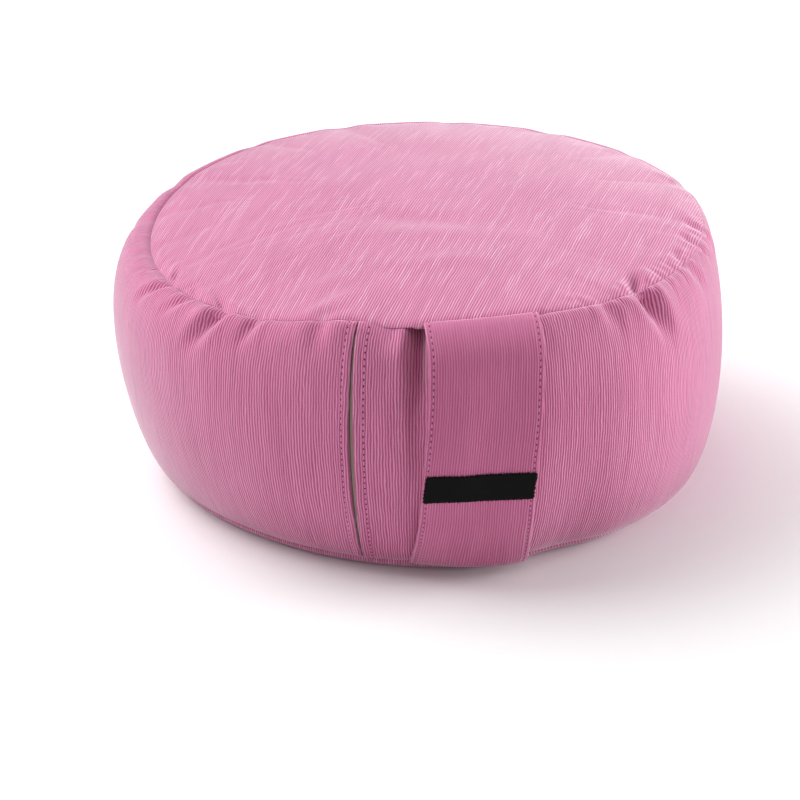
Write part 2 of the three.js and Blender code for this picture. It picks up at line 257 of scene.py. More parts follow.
# The cloth's ribs and its sewing. The discs are cut far along the cloth from the wall, so that a finish can
# tell them from it. A wall's or strap's cloth runs down from 0 at the upper seam.
RIB_PITCH = 1.3
RIB_TURN = 26  # the top disc's ribs run at this turn from straight back
DISC_PLACE = 400
DISC_FROM = (100.0, 110.0)
FOOT_PAINTED_SHADE = (105.0, 172.0)  # the cloth is painted darker from here down, as painted shade low on the wall
STRAP_TOP_PAINTED_LIGHT = (-42.0, -4.0)  # and the strap's is painted lighter from here up, as painted light where its top turns up
LABEL_WARP = 0.45
LABEL_WEFT = 0.38
TAPE_TWILL = 0.5
STRAP_SEWN = (0.03, 0.97)
SLIT_SEWN = (0.02, 0.975)
STITCH_PITCH = 3.3
STITCH = {"Pitch": STITCH_PITCH * MM, "Length": 2.3 * MM, "Width": 0.75 * MM, "Height": 0.7 * MM}
# Painted shade: dark grains level with the cloth where the needle holes between the stitches lie in shade
NEEDLE_HOLE_SHADE = {"Pitch": STITCH_PITCH * MM, "Length": 1.2 * MM, "Width": 0.9 * MM, "Height": 0.35 * MM}

# Colours of the dyed cotton and the thread, in linear red, green and blue; some of them also carry painted
# shade or painted sheen, as noted
# The cover's deep tone: the cloth's own darker threads, and the ribs' gaps painted darker as painted shade
# in the grooves
COVER_SHADE_AND_DEEP_TONE = (0.335, 0.05, 0.145, 1.0)
COVER_PINK = (0.715, 0.265, 0.445, 1.0)
# The strap's copy of the cloth, painted darker than the cover's as painted shade; its gaps are also painted
# darker as shade in the grooves
STRAP_SHADED_DEEP_TONE = (0.39, 0.073, 0.178, 1.0)
STRAP_SHADED_PINK = (0.61, 0.19, 0.35, 1.0)
# The lighter threads' pink, which also paints the top disc paler as painted sheen
THREAD_AND_SHEEN_PINK = (0.87, 0.49, 0.65, 1.0)
THREAD_PINK = (0.74, 0.27, 0.47, 1.0)
NEEDLE_SHADE = (0.20, 0.035, 0.09, 1.0)

# The studio, in metres and watts
FLOOR_SIDE = 12
FLOOR_TONE = (0.9, 0.9, 0.9, 1.0)
WORLD_STRENGTH = 0.34
LAMP_TARGET = (0, 0, 0.07)
LAMPS = [
    {"name": "overhead", "at": (-0.9, 0.6, 1.7), "size": 2.4, "power": 22},
    {"name": "back_panel", "at": (-0.8, 2.0, 1.5), "size": 1.8, "power": 7.5},
    {"name": "left_softbox", "at": (-1.3, 0.5, 1.5), "size": 1.7, "power": 32},
    {"name": "right_softbox", "at": (1.75, 0.0, 0.32), "size": 1.0, "power": 41},
    {"name": "front_fill", "at": (0.0, -1.9, 1.2), "size": 1.4, "power": 2.5},
]

# The photograph's view
CAMERA_TURN = -10
CAMERA_RISE = 24
CAMERA_FAR = 1600
CAMERA_TARGET = (0, 0, 70)
TARGET_PIXEL = (428.0, 333.9)  # where the target falls in the image
FOCAL_PIXELS = 2919
IMAGE_SIDE = 800
SENSOR_MM = 36


def smooth(value, low, high):
    """0 below low, 1 above high and an even S between them."""
    t = np.clip((value - low) / (high - low), 0, 1)
    return t * t * (3 - 2 * t)


def spline(a, b, c, d, t):
    """A smooth curve from b to c, with a before and d after."""
    return b + 0.5 * t * (c - a + t * (2 * a - 5 * b + 4 * c - d + t * (3 * (b - c) + d - a)))


def wrapped(turn):
    """The same turn between -180 and 180 degrees."""
    return np.mod(turn + 180, 360) - 180


def section(column, turn):
    """A column of SECTIONS at any turn."""
    values = np.array([row[column] for row in SECTIONS], float)
    place = np.mod(turn, 360) / (360 / len(values))
    low = np.floor(place).astype(int)
    return spline(*(values[(low + k) % len(values)] for k in (-1, 0, 1, 2)), place - low)


def local_rise(change, turn):
    """A local change in the form, strongest at its own turn."""
    return change["rise"] * np.exp(-((wrapped(turn - change["turn"]) / change["width"]) ** 2))


def seam_height(turn):
    """The upper seam's height, which stands high beside the slit and sags between it and the strap."""
    return section("seam_height", turn) + local_rise(SEAM_LIFT, turn) + local_rise(SEAM_SAG, turn)


def base_radius(turn):
    """The lower seam's radius, which is drawn in beside the strap."""
    return section("base_radius", turn) + local_rise(FOOT_TUCK, turn)


def around(turn, radius, height):
    """Points at a radius and a height on the section at a turn."""
    angle = np.radians(turn)
    radius, height, angle = np.broadcast_arrays(radius, height, angle)
    return np.stack([radius * np.sin(angle), -radius * np.cos(angle), height], axis=-1)


def filled_wall(turn, down):
    """Points of the filled wall, with down from 0 at the upper seam to 1 at the lower one."""
    skewed = np.power(down, np.log(0.5) / np.log(section("bulge_at", turn)))
    swell = np.power(np.maximum(0, 4 * skewed * (1 - skewed)), WALL_FULLNESS)
    chord = section("seam_radius", turn) * (1 - down) + base_radius(turn) * down
    for spread in FOOT_SPREADS:
        chord = chord + local_rise(spread, turn) * down**2
    height = seam_height(turn) * (1 - down) + BASE_SEAM_HEIGHT * down
    return around(turn, chord + section("bulge", turn) * swell, height)


def wall_normal(turn, down):
    """The wall's outward direction, square to it."""
    step = 0.01
    round_it = filled_wall(turn + 1, down) - filled_wall(turn - 1, down)
    fall = filled_wall(turn, np.minimum(1, down + step)) - filled_wall(turn, np.maximum(0, down - step))
    out = np.cross(fall, round_it)
    return out / np.linalg.norm(out, axis=-1, keepdims=True)


def wall_run(turn, down):
    """How far a place on the wall lies from the upper seam."""
    return np.linalg.norm(filled_wall(turn, down) - filled_wall(turn, 0 * down), axis=-1)


def beside_strap(turn, drift):
    """How far a place lies from the strap's edge, below 0 behind the strap."""
    return np.abs(np.radians(wrapped(turn)) * SECTIONS[0]["seam_radius"] - drift) - STRAP_WIDTH / 2


def seam_pull(turn, distance, drift):
    """How far a seam draws the cloth in at a distance along it, deeper behind the strap."""
    depth = SEAM_PULL + POCKET_DEPTH * (1 - smooth(beside_strap(turn, drift), *POCKET_EDGE))
    return depth * np.exp(-np.abs(distance) / SEAM_SPREAD)


def seam_tuck_pull(turn, distance):
    """How far the wall is tucked in under the upper seam, between the slit and the strap."""
    ease = SEAM_TUCK["ease"]
    begun = smooth(wrapped(turn), SEAM_TUCK["first"] - ease, SEAM_TUCK["first"] + ease)
    ended = smooth(wrapped(turn), SEAM_TUCK["last"] - ease, SEAM_TUCK["last"] + ease)
    deepest = SEAM_TUCK["deepest"]
    run = smooth(distance, 0, deepest) * (1 - smooth(distance, deepest, SEAM_TUCK["run"]))
    return SEAM_TUCK["depth"] * begun * (1 - ended) * run


def pucker_pull(turn, distance, radius, reach):
    """How far the puckers draw the cloth in, at a distance from the upper seam."""
    pull = 0
    start = PUCKER_SEAM_SHARE + (1 - PUCKER_SEAM_SHARE) * np.clip(distance / PUCKER_EASE, 0, 1)
    for pucker in PUCKERS:
        run = distance / pucker[reach]
        away = wrapped(turn - pucker["turn"] - pucker["lean"] * run)
        across = np.radians(away) * radius / pucker["width"]
        trough = (1 - PUCKER_RIDGE * across**2) * np.exp(-0.5 * across**2)
        pull = pull + pucker["depth"] * trough * start * (1 - smooth(run, PUCKER_FADE, 1))
    return pull


def strap_fold_pull(turn, distance, radius):
    """How far the wall folds in along the strap's edge."""
    ease, down, end = STRAP_FOLD["ease"], STRAP_FOLD["down"], STRAP_FOLD["long"]
    away = wrapped(turn - STRAP_FOLD["turn"] - STRAP_FOLD["lean"] * smooth(distance, 0, end))
    across = np.radians(away) * radius / STRAP_FOLD["width"]
    trough = (1 - STRAP_FOLD["ridge"] * across**2) * np.exp(-0.5 * across**2)
    depth = STRAP_FOLD["depth"] * (1 - smooth(distance, ease, down))
    depth = depth + STRAP_FOLD["trough"] * (1 - smooth(distance, down / 2, end))
    return depth * trough * smooth(distance, 0, ease)


def seam_gathers():
    """The small gathers: the turn, depth, run and lean of each."""
    chance = np.random.default_rng(GATHER_SEED)
    gathers = []
    for first, last in GATHER_STRETCHES:
        turn = first
        while turn < last:
            gathers.append((turn, chance.uniform(*GATHER_DEPTH), chance.uniform(*GATHER_RUN),
                            chance.uniform(*GATHER_LEAN)))
            turn += chance.uniform(*GATHER_APART)
    return gathers


GATHERS = seam_gathers()


def gather_pull(turn, distance, radius):
    """How far the small gathers draw the cloth in, at a distance from the upper seam."""
    pull = 0
    for place, depth, length, lean in GATHERS:
        run = distance / length
        across = np.radians(wrapped(turn - place - lean * run)) * radius / GATHER_WIDTH
        trough = (1 - GATHER_RIDGE * across**2) * np.exp(-0.5 * across**2)
        pull = pull + depth * trough * (1 - smooth(run, GATHER_FADE, 1))
    return pull * smooth(distance, 0, GATHER_EASE)


def strap_wall(turn, down, out):
    """Points a given way off the wall, with its seams and without its puckers."""
    run = wall_run(turn, down)
    foot = wall_run(turn, 0 * down + 1) - run
    lift = out - seam_pull(turn, run, 0) - seam_pull(turn, foot, STRAP_DRIFT)
    return filled_wall(turn, down) + wall_normal(turn, down) * lift[..., None]


def slit_opening(down):
    """The share of its full width that the slit has opened to."""
    return np.sin(np.pi * np.clip(down / SLIT_FOOT, 0, 1)) ** SLIT_ROUNDNESS


def slit_shape(turn, down):
    """The turn moved to leave the slit's gap open, and the rise of its turned edges."""
    away = np.radians(wrapped(turn - SLIT_TURN)) * WALL_RADIUS
    near = np.exp(-((away / SLIT_GIVE) ** 2))
    shift = near * np.sign(away) * SLIT_HALF_GAP * slit_opening(down)
    table = np.array([[row["away"], row["rise"]] for row in SLIT_LIP])
    rise = np.interp(np.abs(away), table[:, 0], table[:, 1])
    ends = smooth(down, *SLIT_ENDS["upper"]) * (1 - smooth(down, *SLIT_ENDS["lower"]))
    depth = np.where(rise < 0, ends * (SLIT_SHUT + (1 - SLIT_SHUT) * slit_opening(down)), ends)
    return turn + np.degrees(shift / WALL_RADIUS), rise * depth


def cloth_place_down(share):
    """The share of the wall's fall at a share of its cloth, closer together near both seams."""
    return (1 - np.cos(np.pi * share)) / 2


def wall_form(turn, down, lip=0):
    """Points of the sewn wall with its seams and puckers."""
    run = wall_run(turn, down)
    foot = wall_run(turn, 0 * down + 1) - run
    point = filled_wall(turn, down)
    radius = np.linalg.norm(point[..., :2], axis=-1)
    lift = lip - seam_pull(turn, run, 0) - seam_pull(turn, foot, STRAP_DRIFT)
    lift = lift - pucker_pull(turn, run, radius, "down") - gather_pull(turn, run, radius)
    inward = strap_fold_pull(turn, run, radius) + seam_tuck_pull(turn, run)
    level = around(turn, 1, 0 * run)
    return point + wall_normal(turn, down) * lift[..., None] - level * inward[..., None]


def top_folds(point):
    """The rise of the slack folds across the top disc."""
    rise = 0
    for fold in TOP_FOLDS:
        angle = math.radians(fold["turn"])
        x, y = point[..., 0] - fold["x"], point[..., 1] - fold["y"]
        along = (x * math.cos(angle) + y * math.sin(angle)) / fold["length"]
        across = (y * math.cos(angle) - x * math.sin(angle)) / fold["width"]
        rise = rise + fold["rise"] * np.exp(-(along**2) - across**2)
    return rise


def top_form(turn, reach):
    """Points of the sewn top disc, with reach from 0 in the middle to 1 at the seam."""
    seam = section("seam_radius", turn)
    radius = seam * reach
    mean_height = np.mean([row["seam_height"] for row in SECTIONS])
    level = mean_height + (seam_height(turn) - mean_height) * reach**2
    crown = CROWN_RISE * (1 - reach**CROWN_POWER)
    inward = seam - radius
    pull = seam_pull(turn, inward, 0) + reach * pucker_pull(turn, inward, radius, "inward")
    pull = pull + reach * gather_pull(turn, inward, radius)
    point = around(turn, radius, level + crown - pull)
    point[..., 2] += top_folds(point) * smooth(inward, 0, TOP_FOLD_EDGE)
    return point


def cover_wall(turn, share, settle):
    """Points of the finished wall, with share from 0 to 1 along the cloth from the upper seam."""
    down = cloth_place_down(share)
    opened, lip = slit_shape(turn, down)
    return wall_form(opened, down, lip) + settle(turn, share)


def cover_top(turn, reach, settle):
    """Points of the finished top disc."""
    return top_form(turn, reach) + settle(turn, reach)


def cover_rim(turn, reach):
    """Points of the rounded rim, with reach from 0 at the lower seam to 1 on the floor."""
    seam = wall_form(turn, np.ones_like(turn))
    arc = reach * np.pi / 2
    radius = np.linalg.norm(seam[..., :2], axis=-1) - BASE_RIM * (1 - np.cos(arc))
    roll = RIM_ROLL + local_rise(RIM_FLAT, turn)
    roll = roll + RIM_UNDER_STRAP * (1 - smooth(beside_strap(turn, STRAP_DRIFT), *POCKET_EDGE))
    return around(turn, radius + roll * np.sin(2 * arc), seam[..., 2] * (1 - np.sin(arc)))


def cover_turns():
    """The turns of the cover's columns, closest at the front and on both sides of the slit."""
    away = np.array([row["away"] for row in SLIT_LIP])
    slit = np.degrees(np.concatenate([-away[:0:-1], away]) / WALL_RADIUS) + SLIT_TURN
    part = np.linspace(-1, 1, COVER_TURNS, endpoint=False)
    even = 180 * (part - FRONT_CROWDING * np.sin(np.pi * part) / np.pi)
    apart = np.abs(even - SLIT_TURN) > slit[-1] - SLIT_TURN + SLIT_CLEAR
    return np.sort(np.concatenate([even[apart], slit]))


def mesh_piece(name, points, faces, uvs=None):
    """A smooth-shaded object of points in millimetres, and each face corner's place in the cloth."""
    mesh = bpy.data.meshes.new(name)
    mesh.from_pydata((np.asarray(points) * MM).tolist(), [], faces)
    mesh.polygons.foreach_set("use_smooth", np.ones(len(mesh.polygons), bool))
    if uvs is not None:
        layer = mesh.uv_layers.new(name="cloth")
        layer.data.foreach_set("uv", (np.concatenate(uvs) * MM).ravel())
    mesh.update()
    piece = bpy.data.objects.new(name, mesh)
    bpy.context.collection.objects.link(piece)
    return piece


def disc_cloth(points):
    """Places in a disc's cloth: across its ribs, and along them."""
    angle = math.radians(RIB_TURN)
    across = points[..., 0] * math.cos(angle) - points[..., 1] * math.sin(angle)
    along = points[..., 0] * math.sin(angle) + points[..., 1] * math.cos(angle)
    return np.stack([across, along + DISC_PLACE], axis=-1)


def wall_cloth(turn, share):
    """Places in the wall's cloth: across its ribs, and along them."""
    turn, share = np.broadcast_arrays(turn, share)
    return np.stack([np.radians(turn) * SECTIONS[0]["seam_radius"], -share * WALL_LENGTH], axis=-1)


def ring_faces(low, high, count):
    """Quads between two rings of points that start at these indices."""
    here = np.arange(count)
    there = (here + 1) % count
    return np.stack([low + here, low + there, high + there, high + here], axis=1).tolist()


def fan_faces(ring, pole, count):
    """Triangles from a ring of points to one point."""
    here = np.arange(count)
    return np.stack([ring + here, ring + (here + 1) % count, 0 * here + pole], axis=1).tolist()


def build_cover(settle_wall, settle_top):
    """The cover as one closed mesh: underside, rim, wall and top disc."""
    turns = cover_turns()
    count = len(turns)
    closed = np.append(turns, turns[0] + 360)
    steps = np.linspace(0, 1, WALL_ROWS + 1)
    shares = steps - WALL_CROWDING * np.sin(2 * np.pi * steps) / (2 * np.pi)
    reaches = 1 - (1 - np.linspace(0, 1, TOP_ROWS + 1)[1:]) ** TOP_CROWDING
    wall = cover_wall(turns[None, :], shares[:, None], settle_wall)
    top = cover_top(turns[None, :], reaches[:, None], settle_top)
    rim = [cover_rim(turns, np.full(count, k / RIM_ROWS)) for k in range(1, RIM_ROWS + 1)]
    flat = [rim[-1] * (1 - k / (FLAT_ROWS + 1)) for k in range(1, FLAT_ROWS + 1)]
    under = np.array(flat[::-1] + rim[::-1])
    rings = np.concatenate([under, wall[::-1], top[-2::-1]])
    points = np.concatenate([[[0, 0, 0]], rings.reshape(-1, 3), [[0, 0, top[0, :, 2].mean()]]])
    faces, uvs = [], []

    def band(low, cloth_low, cloth_high):
        start = 1 + low * count
        faces.extend(ring_faces(start, start + count, count))
        corners = [cloth_low[:-1], cloth_low[1:], cloth_high[1:], cloth_high[:-1]]
        uvs.append(np.stack(corners, axis=1).reshape(-1, 2))

    def closed_disc(ring):
        return disc_cloth(np.concatenate([ring, ring[:1]]))

    for k in range(len(under)):
        higher = under[k + 1] if k + 1 < len(under) else wall[-1]
        band(k, closed_disc(under[k]), closed_disc(higher))
    for k in range(WALL_ROWS):
        low, high = shares[WALL_ROWS - k], shares[WALL_ROWS - k - 1]
        band(len(under) + k, wall_cloth(closed, low), wall_cloth(closed, high))
    first_top = len(under) + WALL_ROWS
    outward = top[::-1]
    for k in range(TOP_ROWS - 1):
        band(first_top + k, closed_disc(outward[k]), closed_disc(outward[k + 1]))
    last = len(points) - 1
    final = 1 + (len(rings) - 1) * count
    caps = [face[::-1] for face in fan_faces(1, 0, count)] + fan_faces(final, last, count)
    faces.extend(caps)
    uvs.append(disc_cloth(points[np.array(caps).ravel()]))
    return mesh_piece("cushion_cover", points, faces, uvs)


def settled_cloth():
    """How the filling moves the cloth: one function for the wall and one for the top disc."""
    turns = np.linspace(-180, 180, SETTLE_TURNS, endpoint=False)
    shares = np.linspace(0, 1, SETTLE_WALL_ROWS + 1)
    reaches = np.linspace(0, 1, SETTLE_TOP_ROWS + 1)
    wall = wall_form(turns[None, :], cloth_place_down(shares)[:, None])
    top = top_form(turns[None, :], reaches[1:, None])
    rings = np.concatenate([wall[::-1], top[-2::-1]])
    count = SETTLE_TURNS
    points = np.concatenate([rings.reshape(-1, 3), [[0, 0, top[0, :, 2].mean()], [0, 0, 0]]])
    faces = []
    for k in range(len(rings) - 1):
        faces += ring_faces(k * count, (k + 1) * count, count)
    faces += fan_faces((len(rings) - 1) * count, len(points) - 2, count)
    faces += [face[::-1] for face in fan_faces(0, len(points) - 1, count)]
    piece = mesh_piece("settling_cover", points, faces)
    held = piece.vertex_groups.new(name="held")
    eased = piece.vertex_groups.new(name="eased")
    for k, ring in enumerate(rings):
        members = list(range(k * count, (k + 1) * count))
        from_seam = np.linalg.norm(ring - rings[SETTLE_WALL_ROWS], axis=-1).mean()
        eased.add(members, math.exp(-((from_seam / SETTLE_REACH) ** 2)), "REPLACE")
        if k in (0, SETTLE_WALL_ROWS):
            held.add(members, 1.0, "REPLACE")
    held.add([len(points) - 1], 1.0, "REPLACE")
    press_cloth(piece)
    shown = piece.evaluated_get(bpy.context.evaluated_depsgraph_get())
    places = np.empty(len(points) * 3, np.float32)
    shown.data.vertices.foreach_get("co", places)
    moved = places.reshape(-1, 3) / MM - points
    bpy.data.objects.remove(piece)
    bpy.context.scene.frame_set(1)
    on_wall = moved[: len(wall) * count].reshape(len(wall), count, 3)[::-1]
    on_top = moved[len(wall) * count : -2].reshape(-1, count, 3)[::-1]
    middle = np.repeat(moved[None, None, -2], count, axis=1)
    on_top = np.concatenate([middle, on_top, on_wall[:1]])
    return sampled(local_part(turns, on_wall)), sampled(local_part(turns, on_top) * SETTLE_TOP_SHARE)


def press_cloth(piece):
    """Let the filling press the cloth out between its held seams, with extra cloth at the upper one."""
    press = piece.modifiers.new("filling", "CLOTH")
    cloth = press.settings
    cloth.quality = 6
    cloth.mass = 0.2
    cloth.tension_stiffness = 20
    cloth.compression_stiffness = 20
    cloth.shear_stiffness = 8
    cloth.bending_stiffness = 0.2
    cloth.use_pressure = True
    cloth.uniform_pressure_force = SETTLE_PRESSURE
    cloth.vertex_group_mass = "held"
    cloth.vertex_group_shrink = "eased"
    cloth.shrink_min = 0
    cloth.shrink_max = -SETTLE_EASE
    cloth.effector_weights.gravity = 0
    press.collision_settings.use_collision = False
    press.point_cache.frame_start = 1
    press.point_cache.frame_end = SETTLE_FRAMES
    for number in range(1, SETTLE_FRAMES + 1):
        bpy.context.scene.frame_set(number)


def local_part(turns, moved):
    """The movement out, round and up, less its slow change round the cushion."""
    angle = np.radians(turns)[None, :]
    out = moved[..., 0] * np.sin(angle) - moved[..., 1] * np.cos(angle)
    side = moved[..., 0] * np.cos(angle) + moved[..., 1] * np.sin(angle)
    waves = np.fft.rfft(np.stack([out, side, moved[..., 2]], axis=-1), axis=1)
    waves[:, :SETTLE_SLOW_WAVES] = 0
    local = np.fft.irfft(waves, n=len(turns), axis=1)
    size = np.linalg.norm(local, axis=-1, keepdims=True)
    return local / np.maximum(1, size / SETTLE_MOST)


def sampled(field):
    """A function that reads a field of movements between its grid points, less behind the strap."""
    rows, cols = field.shape[:2]

    def read(turn, share):
        turn, share = np.broadcast_arrays(turn, share)
        x = np.mod(turn + 180, 360) / 360 * cols
        y = np.clip(share, 0, 1) * (rows - 1)
        col = np.floor(x).astype(int)
        row = np.minimum(np.floor(y).astype(int), rows - 2)
        lines = []
        columns = (col[..., None] + np.arange(-1, 3)) % cols
        for k in (-1, 0, 1, 2):
            line = field[np.clip(row + k, 0, rows - 1)[..., None], columns]
            lines.append(spline(*(line[..., m, :] for m in range(4)), (x - col)[..., None]))
        free = smooth(beside_strap(turn, 0), 0, SETTLE_STRAP_EDGE)
        kept = SETTLE_STRAP_SHARE + (1 - SETTLE_STRAP_SHARE) * free
        local = spline(*lines, (y - row)[..., None]) * kept[..., None]
        angle = np.radians(turn)
        out, side = local[..., 0], local[..., 1]
        return np.stack([out * np.sin(angle) + side * np.cos(angle),
                         side * np.sin(angle) - out * np.cos(angle), local[..., 2]], axis=-1)

    return read


def strap_stand_off(along, across):
    """The strap's distance from the wall: little in the seams, and most a little above the middle."""
    slack = np.sin(np.pi * np.clip(along, 0, 1) ** SLACK_SKEW) ** SLACK_POWER
    slack = slack * (1 - TAUT_SHARE * smooth(along, TAUT_FROM, 1))
    return STRAP_SEAM_GAP + slack * (STRAP_HANG - STRAP_SEAM_GAP + STRAP_FLATTEN * 4 * across**2)


def strap_swell(along, across):
    """How far the slack strap swells out or dips at a place on it."""
    rise = 0
    for swell in STRAP_SWELLS:
        wide = (across - swell["across"]) / swell["wide"]
        far = (along - swell["along"]) / swell["long"]
        rise = rise + swell["rise"] * np.exp(-(wide**2) - far**2)
    return rise


def strap_point(across, along, lift):
    """Points of the strap: shares across it and along it, and a lift off its back."""
    off = strap_stand_off(along, across) + strap_swell(along, across) + lift
    width = STRAP_WIDTH * (1 + STRAP_FLARE * smooth(along, DRIFT_END, 1))
    sideways = across * width + STRAP_DRIFT * smooth(along, 0, DRIFT_END)
    reach = off - filled_wall(0 * along, along)[..., 1]
    return strap_wall(np.degrees(np.arcsin(sideways / reach)), along, off)


def band_piece(name, place, across, along, size):
    """A closed band of cloth, cut to a size, whose place gives points from shares across and along."""
    a, b = np.meshgrid(across, along, indexing="ij")
    outer = place(a, b, 1.0)
    inner = place(a, b, 0.0)
    rows, cols = a.shape
    count = rows * cols
    index = np.arange(count).reshape(rows, cols)
    grid = np.stack([index[:-1, :-1], index[:-1, 1:], index[1:, 1:], index[1:, :-1]], axis=-1)
    grid = grid.reshape(-1, 4)
    rim = np.concatenate([index[:-1, 0], index[-1, :-1], index[:0:-1, -1], index[0, :0:-1]])
    after = np.roll(rim, -1)
    side = np.stack([rim, after, after + count, rim + count], axis=-1)
    faces = np.concatenate([grid, grid[:, ::-1] + count, side])
    flat = np.stack([a * size[0], -b * size[1]], axis=-1).reshape(-1, 2)
    uvs = [np.concatenate([flat, flat])[faces.ravel()]]
    points = np.concatenate([outer.reshape(-1, 3), inner.reshape(-1, 3)])
    return mesh_piece(name, points, faces.tolist(), uvs)


def edge_rounding(edge, shape):
    """How far a band's face falls away at a distance from its edge."""
    return shape["depth"] * np.exp(-edge / shape["reach"])


def build_strap():
    """The folded carrying strap, with its long edges rounded and its two lines of sewing drawn in."""

    def place(across, along, through):
        eased = STRAP_END * (1 - np.cos(np.pi * along)) / 2
        edge = STRAP_WIDTH * (0.5 - np.abs(across))
        sewn = STITCH_SINK * np.exp(-(((edge - STITCH_INSET) / STITCH_DIMPLE) ** 2))
        drawn_in = sewn + edge_rounding(edge, STRAP_EDGE)
        from_end = smooth(np.minimum(along, 1 - along), 0, STRAP_TURN_IN["run"])
        tucked = STRAP_TURN_IN["thin"] + (1 - STRAP_TURN_IN["thin"]) * from_end
        lift = STRAP_THICK * tucked * through + drawn_in * (1 - 2 * through) * tucked
        return strap_point(across, eased, lift)

    half = np.array(STRAP_COLUMNS) / STRAP_WIDTH
    across = np.concatenate([-0.5 + half, [0], 0.5 - half[::-1]])
    along = np.linspace(0, 1, STRAP_ROWS + 1)
    return band_piece("carry_strap_cloth", place, across, along, (STRAP_WIDTH, STRAP_LENGTH))


def strap_share_at(height):
    """The share along the strap at which its middle is this far above the floor."""
    shares = np.linspace(0, 1, 400)
    heights = strap_point(0 * shares, shares, 0 * shares)[:, 2]
    return float(np.interp(-height, -heights, shares))


def fray_at(x, y):
    """A smooth random number for a place on the label."""
    return noise.noise((x, y, 0.0))


def label_outline(across, along):
    """Places on the flat label with its corners rounded and its cut edge a little frayed."""
    half_width, half_height = LABEL_WIDTH / 2, LABEL_HEIGHT / 2
    x, y = across * LABEL_WIDTH, (along - 0.5) * LABEL_HEIGHT
    past_x = np.maximum(0, np.abs(x) - half_width + LABEL_CORNER)
    past_y = np.maximum(0, np.abs(y) - half_height + LABEL_CORNER)
    far = np.hypot(past_x, past_y)
    tuck = 1 - np.maximum(past_x, past_y) / np.maximum(far, 1e-6)
    x = x - np.sign(x) * past_x * tuck
    y = y - np.sign(y) * past_y * tuck
    edge = np.minimum(half_width - np.abs(x), half_height - np.abs(y))
    fray = LABEL_FRAY["most"] * np.exp(-np.maximum(0, edge) / LABEL_FRAY["reach"])
    chance = np.vectorize(fray_at)
    u, v = x * LABEL_FRAY["grain"], y * LABEL_FRAY["grain"]
    return x + fray * chance(u, v), y + fray * chance(u + LABEL_FRAY["apart"], v), edge


def build_label():
    """The plain woven label, sewn on with a slight tilt."""
    top = strap_share_at(LABEL_MIDDLE + LABEL_HEIGHT / 2)
    foot = strap_share_at(LABEL_MIDDLE - LABEL_HEIGHT / 2)
    tilt = math.radians(LABEL_TILT)

    def place(across, along, through):
        x, y, edge = label_outline(across, along)
        right = x * math.cos(tilt) - y * math.sin(tilt)
        down = x * math.sin(tilt) + y * math.cos(tilt)
        rounding = edge_rounding(np.maximum(0, edge), LABEL_EDGE) * through
        lift = STRAP_THICK + PIECE_GAP + LABEL_THICK * through - rounding
        share = (top + foot) / 2 + (foot - top) * down / LABEL_HEIGHT
        return strap_point(right / STRAP_WIDTH, share, lift)

    across = np.linspace(-0.5, 0.5, LABEL_STEPS[0] + 1)
    along = np.linspace(0, 1, LABEL_STEPS[1] + 1)
    return band_piece("woven_label_cloth", place, across, along, (LABEL_WIDTH, LABEL_HEIGHT))


def build_tape():
    """The strip of zip tape that shows in the slit."""

    def place(across, along, through):
        down = TAPE_SPAN[0] + (TAPE_SPAN[1] - TAPE_SPAN[0]) * along
        shown = TAPE_NARROW + (1 - TAPE_NARROW) * slit_opening(down)
        offset = across * TAPE_WIDTH * shown + TAPE_SHIFT
        turn = SLIT_TURN + np.degrees(offset / WALL_RADIUS)
        depth = TAPE_DEPTH + TAPE_THICK * (1 - through)
        return filled_wall(turn, down) - wall_normal(turn, down) * depth

    across = np.linspace(-0.5, 0.5, TAPE_STEPS[0] + 1)
    along = np.linspace(0, 1, TAPE_STEPS[1] + 1)
    return band_piece("zip_tape_cloth", place, across, along, (TAPE_WIDTH, TAPE_LENGTH))


class Value:
    """A node's socket that takes part in arithmetic: each operator adds a Math node."""

    def __init__(self, finish, socket):
        self.finish = finish
        self.socket = socket

    def _math(self, operation, first, second=0.0):
        return self.finish.node("ShaderNodeMath", {"operation": operation}, {0: first, 1: second})

    def __add__(self, other):
        return self._math("ADD", self, other)

    def __sub__(self, other):
        return self._math("SUBTRACT", self, other)

    def __rsub__(self, other):
        return self._math("SUBTRACT", other, self)

    def __mul__(self, other):
        return self._math("MULTIPLY", self, other)

    def __truediv__(self, other):
        return self._math("DIVIDE", self, other)

    def __pow__(self, other):
        return self._math("POWER", self, other)

    __radd__ = __add__
    __rmul__ = __mul__

    def floor(self):
        return self._math("FLOOR", self)

    def wave(self, pitch):
        """An even wave between 0 and 1 that comes again at every pitch."""
        angle = self * (2 * math.pi / pitch)
        return self._math("SINE", angle) * 0.5 + 0.5

    def between(self, low, high):
        """0 below low, 1 above high and an even S between them."""
        return self.finish.node("ShaderNodeMapRange", {"interpolation_type": "SMOOTHSTEP"},
                                {"Value": self, "From Min": low, "From Max": high})


